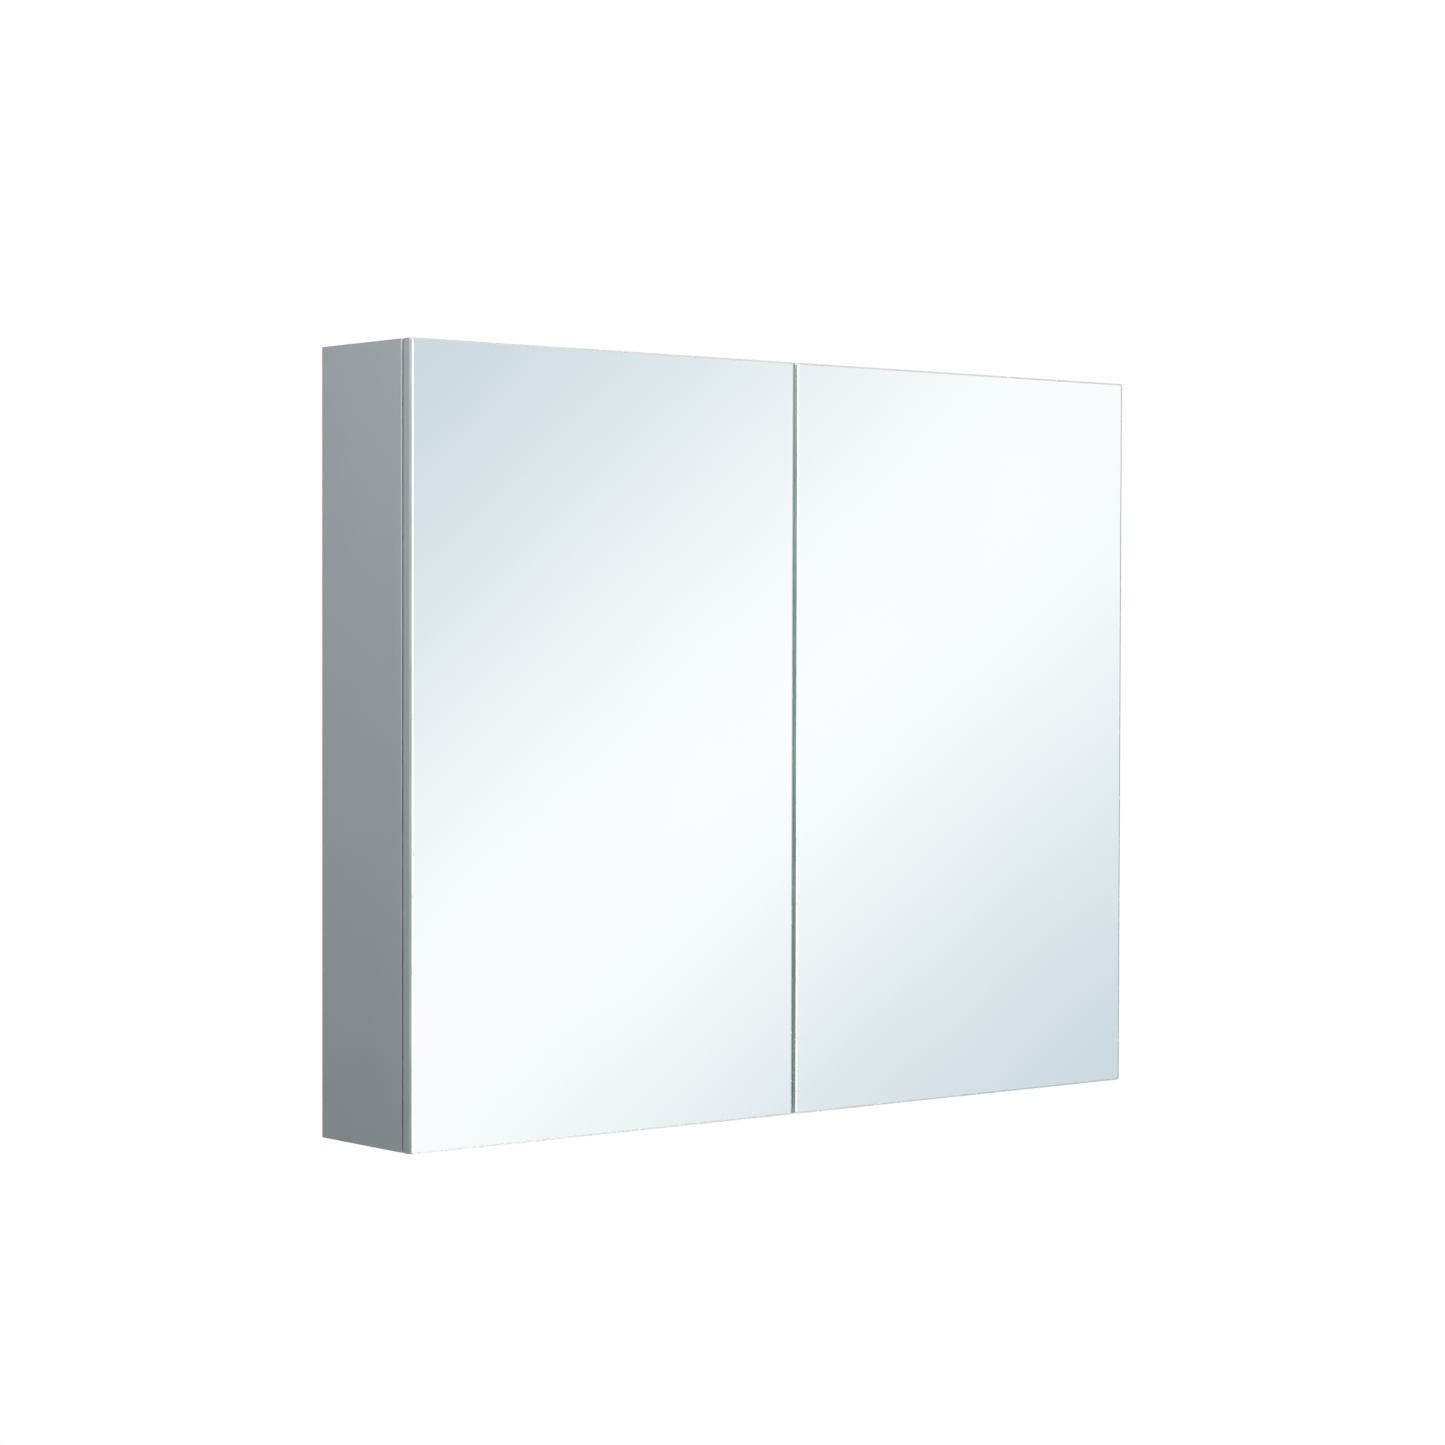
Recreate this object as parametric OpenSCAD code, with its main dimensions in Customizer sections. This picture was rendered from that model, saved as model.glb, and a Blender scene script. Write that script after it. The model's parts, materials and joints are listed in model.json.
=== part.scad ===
// Frameless two-door mirror cabinet that hangs on a wall.
// The origin is the middle of the wall plane: +X is to the right of someone facing the doors,
// -Y is towards them, and +Z is up. Left and right are theirs too.

/* [Cabinet] */
// Width over the side panels
cabinet_w = 800; // [700:10:1000]
// Height of the carcass and of the doors
cabinet_h = 650; // [620:10:800]
// Depth of the carcass without the doors
carcass_d = 115; // [112:1:140]
// Thickness of the sides, top, bottom and partition
panel_t = 15; // [15:0.5:18]
// Radius on the front edges of the panels
edge_r = 1; // [0.5:0.1:2]

/* [Back and wall fixing] */
// Thickness of the back panel
back_t = 5; // [4:0.5:6]
// Depth of the grooves that hold the back panel
groove_d = 6; // [5:0.5:7]
// Thickness of the hanging rails behind the back panel
rail_t = 12; // [10:1:13]
// Height of each hanging rail
rail_h = 60; // [50:1:80]
// Distance between the wall fixing holes, side to side
fixing_w = 600; // [400:10:620]
// Radius of the wall fixing holes
fixing_r = 2.75; // [2.5:0.25:4]

/* [Doors] */
// Thickness of the board behind the mirror
board_t = 9; // [9:0.5:10]
// Radius on the back edges of the door boards, which clear the carcass as a door turns
board_r = 1.2; // [1.2:0.1:1.6]
// Thickness of the mirror glass
glass_t = 4; // [4:0.5:6]
// Width of the polished bevel round the front of the glass
arris_w = 1.5; // [0.5:0.1:2]
// Depth of the polished bevel
arris_d = 0.35; // [0.2:0.05:1]
// Gap between the carcass and a closed door
reveal = 2; // [2:0.5:3]
// Gap between the two doors
door_gap = 4; // [3:0.5:5]

/* [Shelves] */
// Thickness of the glass shelves
shelf_t = 5; // [4:1:6]
// Depth of the glass shelves
shelf_d = 85; // [70:1:87]
// Spacing of the shelf pin holes
pin_hole_pitch = 32; // [25:1:40]
// Radius of the shelf pins and their holes
shelf_pin_r = 2.5; // [2:0.1:3]

/* [Hinges] */
// Height of the hinges above and below the middle of the cabinet
hinge_z = 225; // [180:5:250]
// Distance of the hinge pin from the outer side
pin_from_side = 5.4; // [5.3:0.1:5.6]
// Distance of the hinge pin from the back of the glass
pin_from_glass = 3; // [2.9:0.1:3.1]
// Radius of the hinge pin
pin_r = 1; // [0.8:0.1:1.1]
// Thickness of the steel of the hinge arms
arm_t = 1.6; // [1.2:0.1:1.6]
// Distance of the mounting plate's screws from the front of the carcass
plate_setback = 37; // [34:1:40]

/* [Touch latches] */
// Radius of the latch plunger
plunger_r = 3; // [2.5:0.1:3]
// How far the plunger is pressed in
latch_travel = 2; // [1:0.1:3]
// Length of the latch housing
latch_l = 54; // [50:1:60]

/* [Hidden] */
$fn = 48;
lacquer = "#989FA4";
back_grey = "#C9CDD0";
plywood = "#C8A878";
beech = "#D8BC8C";
mirror_blue = "#DDE7EC";
clear_glass = "#CFE3DD";
nickel = "#B9BCBE";
zinc = "#A4A7AA";
pin_steel = "#85888B";
white_plastic = "#ECECEA";
grey_plastic = "#BDC0C2";
magnet_grey = "#4C4E50";
cut = 1;                                  // how far a cutting tool runs past the face it cuts
fit_play = 0.05;                          // radial play of dowels, pins and screws in their holes
bore_end_play = 0.2;                      // how much deeper a blind hole is than what goes in it
inner_w = cabinet_w - 2 * panel_t;
inner_h = cabinet_h - 2 * panel_t;
half_inner = (inner_w - panel_t) / 2;     // width of one compartment
front_y = -carcass_d;                     // front of the carcass
board_y = front_y - reveal;               // back of the door boards
glass_y = board_y - board_t;              // back of the mirror glass
back_y = -rail_t;                         // wall side of the back panel
back_front_y = back_y - back_t;
door_w = (cabinet_w - door_gap) / 2;

// Knock-down fittings: a bolt in one panel and a disc in the other
groove_play = 0.1;
disc_r = 7.5;
disc_h = 12;
disc_set = 24;                            // from the joint to the middle of the disc
bolt_screw_r = 2.5;
bolt_body_r = 3.4;
bolt_neck_r = 1.6;
bolt_ball_r = 3;
bolt_screw_l = 10;
bolt_bore_r = 4;
dowel_r = 4;
dowel_l = 30;
dowel_in = 10;                            // how much of a dowel is in the panel it ends on
rail_dowel_r = 3;
cam_ys = [-carcass_d / 2 - 30, -carcass_d / 2 + 22];
dowel_ys = [-carcass_d / 2 - 14, -carcass_d / 2 + 6];
partition_cam_y = -carcass_d / 2 - 4;
partition_dowel_ys = [-carcass_d / 2 - 32, -carcass_d / 2 + 20];
rail_dowel_zs = [inner_h / 2 - rail_h / 4, inner_h / 2 - 3 * rail_h / 4];

// Shelves
shelf_play = 2;                           // between a shelf's ends and the panels
shelf_setback = 2;                        // between a shelf and the back panel
shelf_back_y = back_front_y - shelf_setback;
shelf_bottoms = [-inner_h / 6, inner_h / 6];
shelf_pin_ys = [shelf_back_y - 0.2 * shelf_d, shelf_back_y - 0.8 * shelf_d];
pin_flat = 0.5;                           // how much is off the top of a shelf pin
shelf_pin_in = 6;
shelf_pin_out = 8.5;
pin_collar_r = 4;
pin_collar_t = 1.2;
pin_hole_d = 6.5;

// Hinges, with across measured inwards from the cabinet's outer side
pin_y = glass_y + pin_from_glass;
running = 0.05;                           // radial play of a hinge knuckle on its pin
pin_fit = 0.02;                           // radial play of a hinge pin in its pot
knuckle_r = arm_t + 0.3;
arm_w = 12;
arm_rib_t = 1.2;
arm_rib_h = 4;
plate_t = 3;
plate_wing_t = 2;
plate_l = 40;
plate_wing_w = 12;
plate_wing_h = 48;
plate_screw_pitch = 32;
plate_screw_r = 1.75;
plate_head_r = 3.2;
plate_head_h = 1.45;
head_play = 0.02;                         // room round a countersunk head
plate_screw_l = 12;
plate_y = front_y + plate_setback;
arm_across = panel_t + plate_t;           // the arm lies on the plate
arm_back_y = plate_y + plate_l / 2 - 2;
arm_rib_front_y = front_y + 3;
clamp_y = plate_y + 8;
adjuster_y = plate_y - 10;
arm_screw_r = 2;
arm_screw_play = 0.1;
arm_screw_head_r = 3.2;
arm_screw_head_h = 2;
arm_slot_floor = 0.8;                     // how much of the head is left under its cross slot
pot_across = [2.4, 26];
pot_wall = 0.8;
pot_floor = 0.5;
pot_h = 16;
pot_pocket_h = 20;
pot_flange_across = [8, 30];
pot_flange_h = 42;
pot_flange_t = 1;
pot_side_wall = 1;
pot_screw_across = 17;
pot_screw_z = 15;
pot_screw_r = 1.5;
pot_head_r = 2.6;
pot_screw_l = 7.5;
rivet_r = 1.6;
rivet_h = 0.6;

// Touch latches, one each side of the partition under the top panel
latch_w = 16;
latch_h = 15;
latch_x = -panel_t / 2 - 2 - latch_w / 2;
latch_z = inner_h / 2 - latch_h / 2;
latch_front_y = front_y + 3;
latch_back_y = latch_front_y + latch_l;
latch_play = 0.3;                         // between a plunger and its housing
latch_bush_l = 6;
latch_bore_r = plunger_r + 1.3;
latch_collar_r = latch_bore_r - latch_play;
latch_collar_l = 2.6;
latch_stem_r = plunger_r - 0.6;
latch_collar_y = latch_front_y + latch_bush_l + latch_play;
latch_cap_l = 6;
latch_ear = 12;
latch_ear_t = 2.5;
latch_screw_r = 1.5;
latch_head_r = 3;
latch_head_h = 1.5;
latch_screw_l = 12;
magnet_l = 3;
strike_r = 7;
strike_t = 1;
magnet_y = board_y + strike_t + latch_play;
spring_wire_r = 0.4;
spring_r = latch_stem_r + 0.9;
spring_turns = 9;
spring_sides = 6;
spring_steps = 12;                        // flats round one turn of the spring
spring_play = 0.05;                       // between a spring and the collar that it pushes
spring_front_y = latch_collar_y + latch_collar_l + spring_wire_r + spring_play;
spring_back_y = latch_back_y - latch_cap_l - spring_wire_r;

LEFT = 0;
RIGHT = 1;
UPPER = 0;
LOWER = 1;

// Each piece is drawn for the left and the top, and mirrored for the right and the bottom
module on_side(side) {
    mirror([side, 0, 0]) children();
}

module at_level(level) {
    mirror([0, 0, level]) children();
}

// A place on the left half, measured across from the outer side
module from_outer_side(across, y, z) {
    translate([-cabinet_w / 2 + across, y, z]) children();
}

module cylinder_x(r, from, to) {
    translate([from, 0, 0]) rotate([0, 90, 0]) cylinder(r = r, h = to - from);
}

module cylinder_y(r, from, to) {
    translate([0, to, 0]) rotate([90, 0, 0]) cylinder(r = r, h = to - from);
}

module cone_x(r_from, r_to, from, to) {
    translate([from, 0, 0]) rotate([0, 90, 0]) cylinder(r1 = r_from, r2 = r_to, h = to - from);
}

module cone_y(r_from, r_to, from, to) {
    translate([0, from, 0]) rotate([-90, 0, 0]) cylinder(r1 = r_from, r2 = r_to, h = to - from);
}

module block(low, high) {
    translate(low) cube(high - low);
}

// Board outline seen along its length: square at the back, rounded at the front (at -depth)
module board_section(thick, depth, r) {
    translate([-thick / 2, r - depth]) square([thick, depth - r]);
    translate([r - thick / 2, -depth]) square([thick - 2 * r, 2 * r]);
    for (side = [-1, 1]) translate([side * (thick / 2 - r), r - depth]) circle(r = r);
}

module upright_board(thick, depth, high) {
    translate([0, 0, -high / 2]) linear_extrude(high) board_section(thick, depth, edge_r);
}

module level_board(long, depth, thick) {
    translate([-long / 2, 0, 0]) rotate([0, 90, 0])
        linear_extrude(long) board_section(thick, depth, edge_r);
}

// Screw along -X with its countersunk head ending at the origin
module countersunk_screw(head_r, head_h, r, long) {
    slot_w = 0.22 * head_r;
    point = r;
    difference() {
        union() {
            cone_x(r, head_r, -head_h, 0);
            cylinder_x(r, point - long, -head_h);
            cone_x(0.2 * r, r, -long, point - long);
        }
        for (turn = [0, 90]) rotate([turn, 0, 0])
            block([-0.6 * head_h, -0.6 * head_r, -slot_w], [cut, 0.6 * head_r, slot_w]);
    }
}

// ---- Carcass joints ----

// Joints where the left side panel meets the top panel, and their mirror images.
// Local X runs into the top panel and local -Z faces the inside of the cabinet.
module at_corners(ys) {
    for (side = [0, 1], level = [0, 1], y = ys)
        on_side(side) at_level(level)
            translate([-inner_w / 2, y, (inner_h + panel_t) / 2]) children();
}

// Joints at the partition's two ends, with local X running into the partition
module at_partition_ends(ys) {
    for (level = [0, 1], y = ys)
        at_level(level) translate([0, y, inner_h / 2]) rotate([0, 90, 0]) children();
}

module at_rail_ends() {
    for (side = [0, 1], level = [0, 1], z = rail_dowel_zs)
        on_side(side) at_level(level) translate([-inner_w / 2, -rail_t / 2, z]) children();
}

module at_cams() {
    at_corners(cam_ys) children();
    at_partition_ends([partition_cam_y]) children();
}

module at_dowels() {
    at_corners(dowel_ys) children();
    at_partition_ends(partition_dowel_ys) children();
}

module cam_holes() {
    cylinder_x(bolt_screw_r, -bolt_screw_l - 0.5, cut);
    cylinder_x(bolt_bore_r, 0, disc_set);
    translate([disc_set, 0, -panel_t / 2 - cut]) cylinder(r = disc_r, h = disc_h + cut + bore_end_play);
}

module carcass_joint_holes() {
    at_cams() cam_holes();
    at_dowels() cylinder_x(dowel_r, -dowel_in, dowel_l - dowel_in);
    at_rail_ends() cylinder_x(rail_dowel_r, -dowel_in, dowel_l - dowel_in);
}

module back_panel_groove() {
    wide = inner_w + 2 * groove_d;
    high = inner_h + 2 * groove_d;
    block([-wide / 2, back_front_y - groove_play, -high / 2],
          [wide / 2, back_y + groove_play, high / 2]);
}

module at_wall_fixings() {
    for (x = [-1, 1], z = [-1, 1])
        translate([x * fixing_w / 2, 0, z * (inner_h - rail_h) / 2]) children();
}

module wall_fixing_hole() {
    cylinder_y(fixing_r, back_front_y - cut, cut);
}

// ---- Carcass ----

module at_shelf_pins(half, bottom) {
    for (face = [0, 1], y = shelf_pin_ys)
        on_side(half) translate([-(half_inner + panel_t) / 2, y, bottom - shelf_pin_r + pin_flat])
            mirror([face, 0, 0]) translate([-half_inner / 2, 0, 0]) children();
}

module shelf_pin_holes() {
    for (half = [LEFT, RIGHT], bottom = shelf_bottoms, step = [-1, 0, 1])
        translate([0, 0, step * pin_hole_pitch])
            at_shelf_pins(half, bottom) cylinder_x(shelf_pin_r, -pin_hole_d, cut);
}

module at_plate_screws() {
    for (side = [LEFT, RIGHT], level = [UPPER, LOWER], z = [-1, 1])
        on_side(side) at_level(level)
            from_outer_side(panel_t, plate_y, hinge_z + z * plate_screw_pitch / 2) children();
}

module side_panel(side) {
    color(lacquer) difference() {
        on_side(side) translate([(panel_t - cabinet_w) / 2, 0, 0])
            upright_board(panel_t, carcass_d, cabinet_h);
        back_panel_groove();
        carcass_joint_holes();
        shelf_pin_holes();
        at_plate_screws() cylinder_x(plate_screw_r, plate_wing_t - plate_screw_l - 0.5, cut);
    }
}

module level_panel(level) {
    color(lacquer) difference() {
        at_level(level) translate([0, 0, (inner_h + panel_t) / 2])
            level_board(inner_w, carcass_d, panel_t);
        back_panel_groove();
        carcass_joint_holes();
        at_latches() at_latch_screws() cylinder_x(latch_screw_r, latch_ear_t - latch_screw_l - 0.5, cut);
    }
}

module centre_partition() {
    color(lacquer) difference() {
        translate([0, back_front_y, 0]) upright_board(panel_t, carcass_d + back_front_y, inner_h);
        carcass_joint_holes();
        shelf_pin_holes();
    }
}

module back_panel() {
    edge = groove_d - 0.5;
    color(back_grey) difference() {
        block([-inner_w / 2 - edge, back_front_y, -inner_h / 2 - edge],
              [inner_w / 2 + edge, back_y, inner_h / 2 + edge]);
        at_wall_fixings() wall_fixing_hole();
    }
}

module hanging_rail(level) {
    color(plywood) difference() {
        at_level(level) block([-inner_w / 2, back_y, inner_h / 2 - rail_h], [inner_w / 2, 0, inner_h / 2]);
        at_wall_fixings() wall_fixing_hole();
        at_rail_ends() cylinder_x(rail_dowel_r, -dowel_in, dowel_l - dowel_in);
    }
}

module dowel(r) {
    end = 1;
    from = 0.5 - dowel_in;
    to = dowel_l - dowel_in - 0.5;
    cylinder_x(r, from + end, to - end);
    cone_x(r - end, r, from, from + end);
    cone_x(r, r - end, to - end, to);
}

module carcass_dowels() {
    color(beech) {
        at_dowels() dowel(dowel_r - fit_play);
        at_rail_ends() dowel(rail_dowel_r - fit_play);
    }
}

module cam_bolt() {
    body_end = disc_set - disc_r - 1;
    neck_end = disc_set - 4;
    cylinder_x(bolt_screw_r - fit_play, -bolt_screw_l, 0);
    cylinder_x(bolt_body_r, 0, body_end);
    cylinder_x(bolt_neck_r, body_end, neck_end);
    cylinder_x(bolt_ball_r, neck_end, disc_set - 1);
}

module cam_bolts() {
    color(nickel) at_cams() cam_bolt();
}

module cam_disc() {
    slot = 1;
    translate([disc_set, 0, -panel_t / 2]) difference() {
        cylinder(r = disc_r - 0.1, h = disc_h);
        translate([0, 0, panel_t / 2]) cylinder_x(bolt_bore_r, -2 * disc_r, 1);
        for (turn = [0, 90]) rotate(turn) block([-4.5, -slot, -cut], [4.5, slot, 2]);
    }
}

module cam_discs() {
    color(zinc) at_cams() cam_disc();
}

module shelf(half, bottom) {
    near = panel_t / 2 + shelf_play;
    far = inner_w / 2 - shelf_play;
    color(clear_glass) on_side(half)
        block([-far, shelf_back_y - shelf_d, bottom], [-near, shelf_back_y, bottom + shelf_t]);
}

module shelf_pin() {
    cylinder_x(shelf_pin_r - fit_play, -shelf_pin_in, 0);
    cylinder_x(pin_collar_r, 0, pin_collar_t);
    difference() {
        cylinder_x(shelf_pin_r, pin_collar_t, shelf_pin_out);
        block([pin_collar_t, -shelf_pin_r, shelf_pin_r - pin_flat],
              [shelf_pin_out + cut, shelf_pin_r, shelf_pin_r + cut]);
    }
}

module shelf_pins() {
    color(nickel) for (half = [LEFT, RIGHT], bottom = shelf_bottoms)
        at_shelf_pins(half, bottom) shelf_pin();
}

// ---- Hinges ----

module at_hinge(side, level) {
    on_side(side) at_level(level) from_outer_side(0, 0, hinge_z) children();
}

module hinge_plate(side, level) {
    color(nickel) at_hinge(side, level) difference() {
        union() {
            block([panel_t, plate_y - plate_l / 2, -arm_w / 2],
                  [panel_t + plate_t, plate_y + plate_l / 2, arm_w / 2]);
            block([panel_t, plate_y - plate_wing_w / 2, -plate_wing_h / 2],
                  [panel_t + plate_wing_t, plate_y + plate_wing_w / 2, plate_wing_h / 2]);
        }
        for (z = [-1, 1]) translate([panel_t, plate_y, z * plate_screw_pitch / 2]) {
            cylinder_x(plate_screw_r + fit_play, -cut, plate_wing_t + cut);
            cone_x(plate_screw_r + head_play, plate_head_r + head_play,
                   plate_wing_t - plate_head_h, plate_wing_t);
        }
        for (y = [clamp_y, adjuster_y]) translate([0, y, 0])
            cylinder_x(arm_screw_r + arm_screw_play, panel_t - cut, arm_across + cut);
    }
}

module plate_screws() {
    color(nickel) at_plate_screws() translate([plate_wing_t, 0, 0])
        countersunk_screw(plate_head_r, plate_head_h, plate_screw_r, plate_screw_l);
}

module hinge_arm(side, level) {
    knuckle_front_y = pin_y - knuckle_r;
    color(nickel) at_hinge(side, level) difference() {
        union() {
            translate([pin_from_side, pin_y, -arm_w / 2]) cylinder(r = knuckle_r, h = arm_w);
            block([pin_from_side, knuckle_front_y, -arm_w / 2],
                  [arm_across + arm_t, knuckle_front_y + arm_t, arm_w / 2]);
            block([arm_across, knuckle_front_y, -arm_w / 2],
                  [arm_across + arm_t, arm_back_y, arm_w / 2]);
            for (z = [-1, 1]) translate([0, 0, z * (arm_w - arm_rib_t) / 2])
                block([arm_across, arm_rib_front_y, -arm_rib_t / 2],
                      [arm_across + arm_t + arm_rib_h, arm_back_y, arm_rib_t / 2]);
        }
        translate([pin_from_side, pin_y, -arm_w / 2 - cut])
            cylinder(r = pin_r + running, h = arm_w + 2 * cut);
        for (y = [clamp_y, adjuster_y]) translate([0, y, 0])
            cylinder_x(arm_screw_r + arm_screw_play, arm_across - cut, arm_across + arm_t + cut);
    }
}

// Screws that hold or shift the arm on its plate, with the head on the arm
module arm_screws(y) {
    head_from = arm_across + arm_t;
    slot = 0.5;
    color(nickel) for (side = [LEFT, RIGHT], level = [UPPER, LOWER])
        at_hinge(side, level) translate([0, y, 0]) difference() {
            union() {
                cylinder_x(arm_screw_r, panel_t + bore_end_play, head_from);
                cylinder_x(arm_screw_head_r, head_from, head_from + arm_screw_head_h);
            }
            for (turn = [45, 135]) rotate([turn, 0, 0])
                block([head_from + arm_slot_floor, -0.6 * arm_screw_head_r, -slot],
                      [head_from + arm_screw_head_h + cut, 0.6 * arm_screw_head_r, slot]);
        }
}

module hinge_pot(side, level) {
    inside = [pot_across[0] + pot_wall, pot_across[1] - pot_wall];
    inside_h = pot_h - 2 * pot_side_wall;
    color(nickel) at_hinge(side, level) difference() {
        union() {
            block([pot_across[0], glass_y, -pot_h / 2], [pot_across[1], board_y, pot_h / 2]);
            block([pot_flange_across[0], board_y, -pot_flange_h / 2],
                  [pot_flange_across[1], board_y + pot_flange_t, pot_flange_h / 2]);
        }
        block([inside[0], glass_y + pot_floor, -inside_h / 2], [inside[1], front_y, inside_h / 2]);
        translate([pin_from_side, pin_y, -pot_h]) cylinder(r = pin_r + pin_fit, h = 2 * pot_h);
        for (z = [-1, 1]) translate([pot_screw_across, 0, z * pot_screw_z])
            cone_y(pot_screw_r, pot_head_r, board_y, board_y + pot_flange_t);
    }
}

module hinge_pin(side, level) {
    color(pin_steel) at_hinge(side, level) translate([pin_from_side, pin_y, 0]) {
        translate([0, 0, -pot_h / 2]) cylinder(r = pin_r, h = pot_h);
        for (end = [0, 1]) mirror([0, 0, end])
            translate([0, 0, pot_h / 2]) cylinder(r1 = rivet_r, r2 = pin_r, h = rivet_h);
    }
}

module at_pot_screws(side) {
    for (level = [UPPER, LOWER], z = [-1, 1])
        at_hinge(side, level) translate([pot_screw_across, board_y + pot_flange_t, z * pot_screw_z])
            rotate([0, 0, 90]) children();
}

module pot_screws(side) {
    color(nickel) at_pot_screws(side)
        countersunk_screw(pot_head_r, pot_flange_t, pot_screw_r, pot_screw_l);
}

// ---- Doors ----

module door_board(side) {
    color(lacquer) difference() {
        on_side(side) translate([-door_gap / 2 - door_w / 2, glass_y, -cabinet_h / 2])
            linear_extrude(cabinet_h) mirror([0, 1, 0]) board_section(door_w, board_t, board_r);
        for (level = [UPPER, LOWER]) at_hinge(side, level)
            block([pot_across[0], glass_y - cut, -pot_pocket_h / 2],
                  [pot_across[1], board_y + cut, pot_pocket_h / 2]);
        at_pot_screws(side) cylinder_x(pot_screw_r, -pot_screw_l - bore_end_play, cut);
    }
}

// Glass with a narrow bevel: one outline runs up the door and the other runs across it
module glass_section(wide) {
    polygon([
        [-wide / 2, 0], [-wide / 2, arris_d - glass_t], [arris_w - wide / 2, -glass_t],
        [wide / 2 - arris_w, -glass_t], [wide / 2, arris_d - glass_t], [wide / 2, 0]
    ]);
}

module mirror_glass(side) {
    color(mirror_blue) on_side(side)
        translate([-door_gap / 2 - door_w / 2, glass_y, 0]) intersection() {
            translate([0, 0, -cabinet_h / 2]) linear_extrude(cabinet_h) glass_section(door_w);
            translate([-door_w / 2, 0, 0]) rotate([0, 90, 0])
                linear_extrude(door_w) glass_section(cabinet_h);
        }
}

// ---- Touch latches ----

module at_latch(side) {
    on_side(side) translate([latch_x, 0, latch_z]) children();
}

module at_latches() {
    for (side = [LEFT, RIGHT]) at_latch(side) children();
}

// One screw is in the ear at the back of the housing, and one in the ear at its side.
// Local X points down, from the underside of the top panel.
module at_latch_screws() {
    ears = [
        [0, latch_back_y + latch_ear / 2],
        [-(latch_w + latch_ear) / 2, latch_front_y + latch_l / 2]
    ];
    for (ear = ears) translate([ear[0], ear[1], latch_h / 2]) rotate([0, 90, 0]) children();
}

module latch_housing(side) {
    color(white_plastic) at_latch(side) difference() {
        union() {
            block([-latch_w / 2, latch_front_y, -latch_h / 2], [latch_w / 2, latch_back_y, latch_h / 2]);
            block([-latch_w / 2, latch_back_y, latch_h / 2 - latch_ear_t],
                  [latch_w / 2, latch_back_y + latch_ear, latch_h / 2]);
            translate([-latch_w / 2, latch_front_y + latch_l / 2, 0])
                block([-latch_ear, -latch_ear / 2, latch_h / 2 - latch_ear_t],
                      [0, latch_ear / 2, latch_h / 2]);
        }
        cylinder_y(plunger_r + latch_play, latch_front_y - cut, latch_front_y + latch_bush_l + cut);
        cylinder_y(latch_bore_r, latch_front_y + latch_bush_l, latch_back_y + cut);
        at_latch_screws() translate([latch_ear_t, 0, 0]) {
            cylinder_x(latch_screw_r + fit_play, -latch_ear_t - cut, cut);
            cone_x(latch_screw_r, latch_head_r, -latch_head_h, 0);
        }
    }
}

module latch_end_cap(side) {
    rim = 0.6;
    color(grey_plastic) at_latch(side) {
        cylinder_y(latch_bore_r - fit_play, latch_back_y - latch_cap_l, latch_back_y);
        cylinder_y(latch_bore_r + rim, latch_back_y, latch_back_y + rim);
    }
}

module latch_plunger(side) {
    stem_end_y = latch_back_y - latch_cap_l - latch_travel - latch_play;
    color(white_plastic) at_latch(side) {
        cylinder_y(plunger_r, magnet_y + magnet_l, latch_collar_y);
        cylinder_y(latch_collar_r, latch_collar_y, latch_collar_y + latch_collar_l);
        cylinder_y(latch_stem_r, latch_collar_y + latch_collar_l, stem_end_y);
    }
}

module latch_magnet(side) {
    color(magnet_grey) at_latch(side) cylinder_y(plunger_r, magnet_y, magnet_y + magnet_l);
}

module latch_screws() {
    color(nickel) at_latches() at_latch_screws() translate([latch_ear_t, 0, 0])
        countersunk_screw(latch_head_r, latch_head_h, latch_screw_r, latch_screw_l);
}

module strike_plate(side) {
    color(nickel) at_latch(side) cylinder_y(strike_r, board_y, board_y + strike_t);
}

// Points round the wire, ring by ring along the coil, whose axis is Z
spring_rings = spring_turns * spring_steps;
function wire_point(ring, corner) =
    let (turn = ring * 360 / spring_steps,
         around = corner * 360 / spring_sides,
         out = spring_r + spring_wire_r * cos(around),
         rise = ring * (spring_back_y - spring_front_y) / spring_rings)
    [out * cos(turn), out * sin(turn), rise + spring_wire_r * sin(around)];

module coil_spring() {
    points = [for (ring = [0:spring_rings], corner = [0:spring_sides - 1]) wire_point(ring, corner)];
    first = [for (corner = [spring_sides - 1:-1:0]) corner];
    last = [for (corner = [0:spring_sides - 1]) spring_rings * spring_sides + corner];
    walls = [
        for (ring = [0:spring_rings - 1], corner = [0:spring_sides - 1], half = [0, 1])
            let (here = ring * spring_sides,
                 there = here + spring_sides,
                 next = (corner + 1) % spring_sides)
            half == 0 ? [here + corner, here + next, there + next]
                      : [here + corner, there + next, there + corner]
    ];
    polyhedron(points = points, faces = concat([first, last], walls), convexity = 10);
}

module latch_spring(side) {
    color(nickel) at_latch(side)
        translate([0, spring_front_y, 0]) rotate([-90, 0, 0]) coil_spring();
}

side_panel(LEFT);  // side_panel_left
side_panel(RIGHT);  // side_panel_right
level_panel(UPPER);  // top_panel
level_panel(LOWER);  // bottom_panel
centre_partition();
back_panel();
hanging_rail(UPPER);  // hanging_rail_top
hanging_rail(LOWER);  // hanging_rail_bottom
carcass_dowels();
cam_bolts();
cam_discs();
shelf(LEFT, shelf_bottoms[1]);  // shelf_upper_left
shelf(LEFT, shelf_bottoms[0]);  // shelf_lower_left
shelf(RIGHT, shelf_bottoms[1]);  // shelf_upper_right
shelf(RIGHT, shelf_bottoms[0]);  // shelf_lower_right
shelf_pins();
hinge_plate(LEFT, UPPER);  // hinge_plate_upper_left
hinge_plate(LEFT, LOWER);  // hinge_plate_lower_left
hinge_plate(RIGHT, UPPER);  // hinge_plate_upper_right
hinge_plate(RIGHT, LOWER);  // hinge_plate_lower_right
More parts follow.
